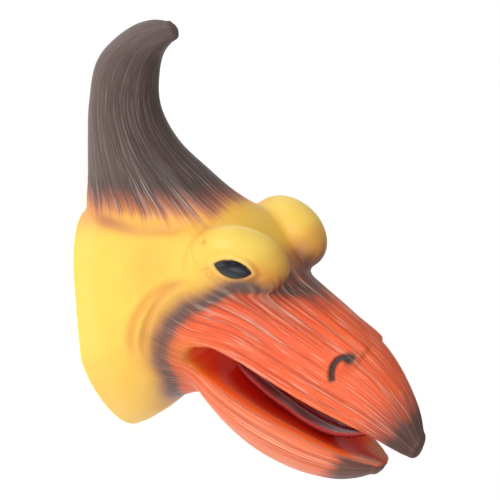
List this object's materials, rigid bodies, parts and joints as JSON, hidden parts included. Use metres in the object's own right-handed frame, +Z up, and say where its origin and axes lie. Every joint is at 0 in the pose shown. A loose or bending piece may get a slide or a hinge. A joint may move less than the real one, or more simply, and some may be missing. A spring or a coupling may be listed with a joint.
{
  "type": "moving mouth hand puppet",
  "caption": "Hollow soft-rubber bird head hand puppet with a curved horn, domed brows and a beak that opens by thumb.",
  "frame": {"origin": "centre of the neck opening, in the flat plane of the neck rim", "axes": "+Z up out of the neck into the head, front of the face towards -Y, bird's left towards +X"},
  "size_m": [0.094, 0.2337, 0.1486],
  "materials": {
    "yellow_rubber": "satin soft rubber",
    "horn_rubber": "satin soft rubber, airbrushed",
    "beak_rubber": "satin soft rubber, airbrushed",
    "mouth_rubber": "satin soft rubber",
    "tongue_rubber": "gloss varnish on soft rubber",
    "eye_black": "high gloss",
    "lens_grey": "high gloss"
  },
  "bodies": {
    "head": {"face_skin": "yellow_rubber", "casque_horn": "horn_rubber", "upper_beak": "beak_rubber", "throat_web": "yellow_rubber", "gusset_right": "beak_rubber", "gusset_left": "beak_rubber", "palate": "mouth_rubber", "mouth_fold": "mouth_rubber", "eye_right": "eye_black", "eye_left": "eye_black", "lens_right": "lens_grey", "lens_left": "lens_grey"},
    "jaw": {"lower_beak": "beak_rubber", "mouth_floor": "mouth_rubber", "tongue": "tongue_rubber"}
  },
  "joints": [
    {"name": "jaw_hinge", "type": "hinge", "parent": "head", "child": "jaw", "pos_m": [0, -0.01608, 0.05961], "axis": [1, 0, 0], "range_deg": [-5, 18], "stiffness_Nm_per_rad": 1, "deforming": ["throat_web", "gusset_right", "gusset_left", "mouth_fold"]}
  ]
}
